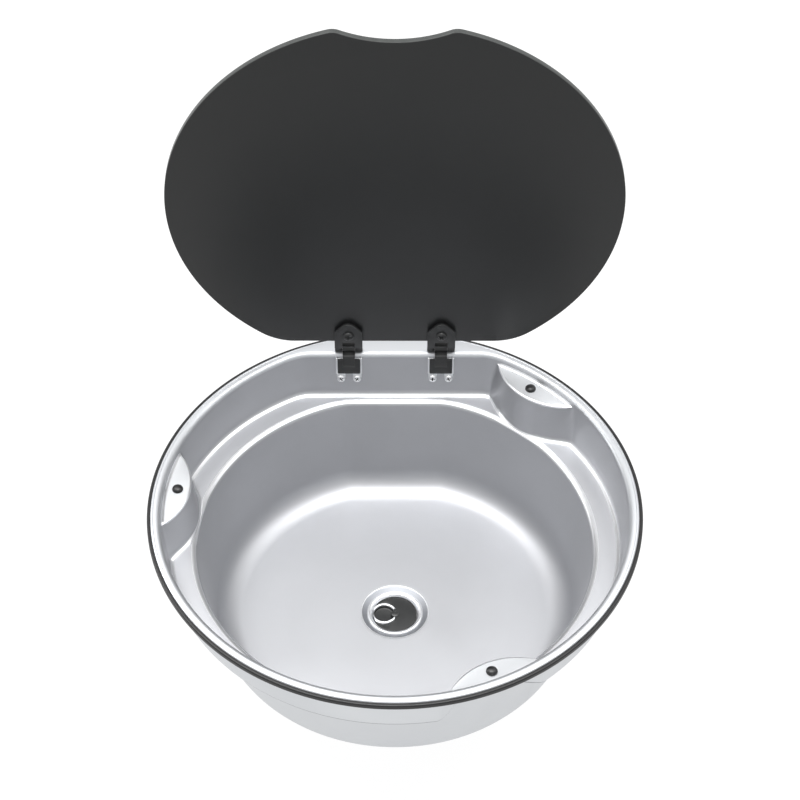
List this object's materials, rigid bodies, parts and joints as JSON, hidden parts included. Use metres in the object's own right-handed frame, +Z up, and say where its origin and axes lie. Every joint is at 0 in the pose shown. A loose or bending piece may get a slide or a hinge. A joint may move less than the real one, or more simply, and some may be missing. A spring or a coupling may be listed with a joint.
{
  "type": "round sink with lid",
  "caption": "Round drop-in stainless sink with a stepped bowl, a rubber-sealed rim, a hinged dark glass lid that rests on bumpers, and a waste with a lift-out plug.",
  "frame": {"origin": "centre of the round cut-out, on the worktop's surface, which is the underside of the rim's seal", "axes": "+Z up out of the worktop, +Y towards the hinges, +X to the right as seen from the front"},
  "size_m": [0.4199, 0.42, 0.5898],
  "materials": {
    "stainless": "satin, deep drawn",
    "polished_steel": "polished",
    "plain_steel": "plain",
    "coated_steel": "black semi-gloss coating",
    "rubber_black": "moulded",
    "tinted_glass": "toughened, tinted nearly opaque, ground edge",
    "waste_chrome": "polished chrome plate",
    "waste_plastic": "moulded",
    "plug_plastic": "moulded, satin"
  },
  "bodies": {
    "basin_body": {"basin": "stainless", "rim_seal": "rubber_black", "bumper_back": "rubber_black", "bumper_left": "rubber_black", "bumper_front": "rubber_black", "hinge_bracket_left": "polished_steel", "hinge_bracket_right": "polished_steel", "hinge_block_left": "coated_steel", "hinge_block_right": "coated_steel", "hinge_strap_left": "coated_steel", "hinge_strap_right": "coated_steel", "backing_plate_left": "plain_steel", "backing_plate_right": "plain_steel", "wall_screws": "polished_steel", "waste_flange": "waste_chrome", "waste_top_seal": "rubber_black", "waste_lower_seal": "rubber_black", "waste_nut": "waste_plastic", "waste_tail": "waste_plastic", "tail_seal": "rubber_black", "union_nut": "waste_plastic"},
    "lid": {"lid_glass": "tinted_glass", "hinge_leaf_left": "coated_steel", "hinge_leaf_right": "coated_steel", "hinge_pin_left": "plain_steel", "hinge_pin_right": "plain_steel", "leaf_gasket_left": "rubber_black", "leaf_gasket_right": "rubber_black", "lid_cap_left": "coated_steel", "lid_cap_right": "coated_steel", "cap_seals": "rubber_black", "lid_screws": "coated_steel"},
    "plug": {"plug_disc": "plug_plastic", "plug_grip": "waste_chrome", "plug_seal": "rubber_black"}
  },
  "joints": [
    {"name": "lid_hinge", "type": "hinge", "parent": "basin_body", "child": "lid", "pos_m": [0, 0.1841, 0.0084], "axis": [1, 0, 0], "range_deg": [0, 88.8]},
    {"name": "plug_lift", "type": "slide", "parent": "basin_body", "child": "plug", "axis": [0, 0, 1], "range_m": [0, 0.04]}
  ]
}
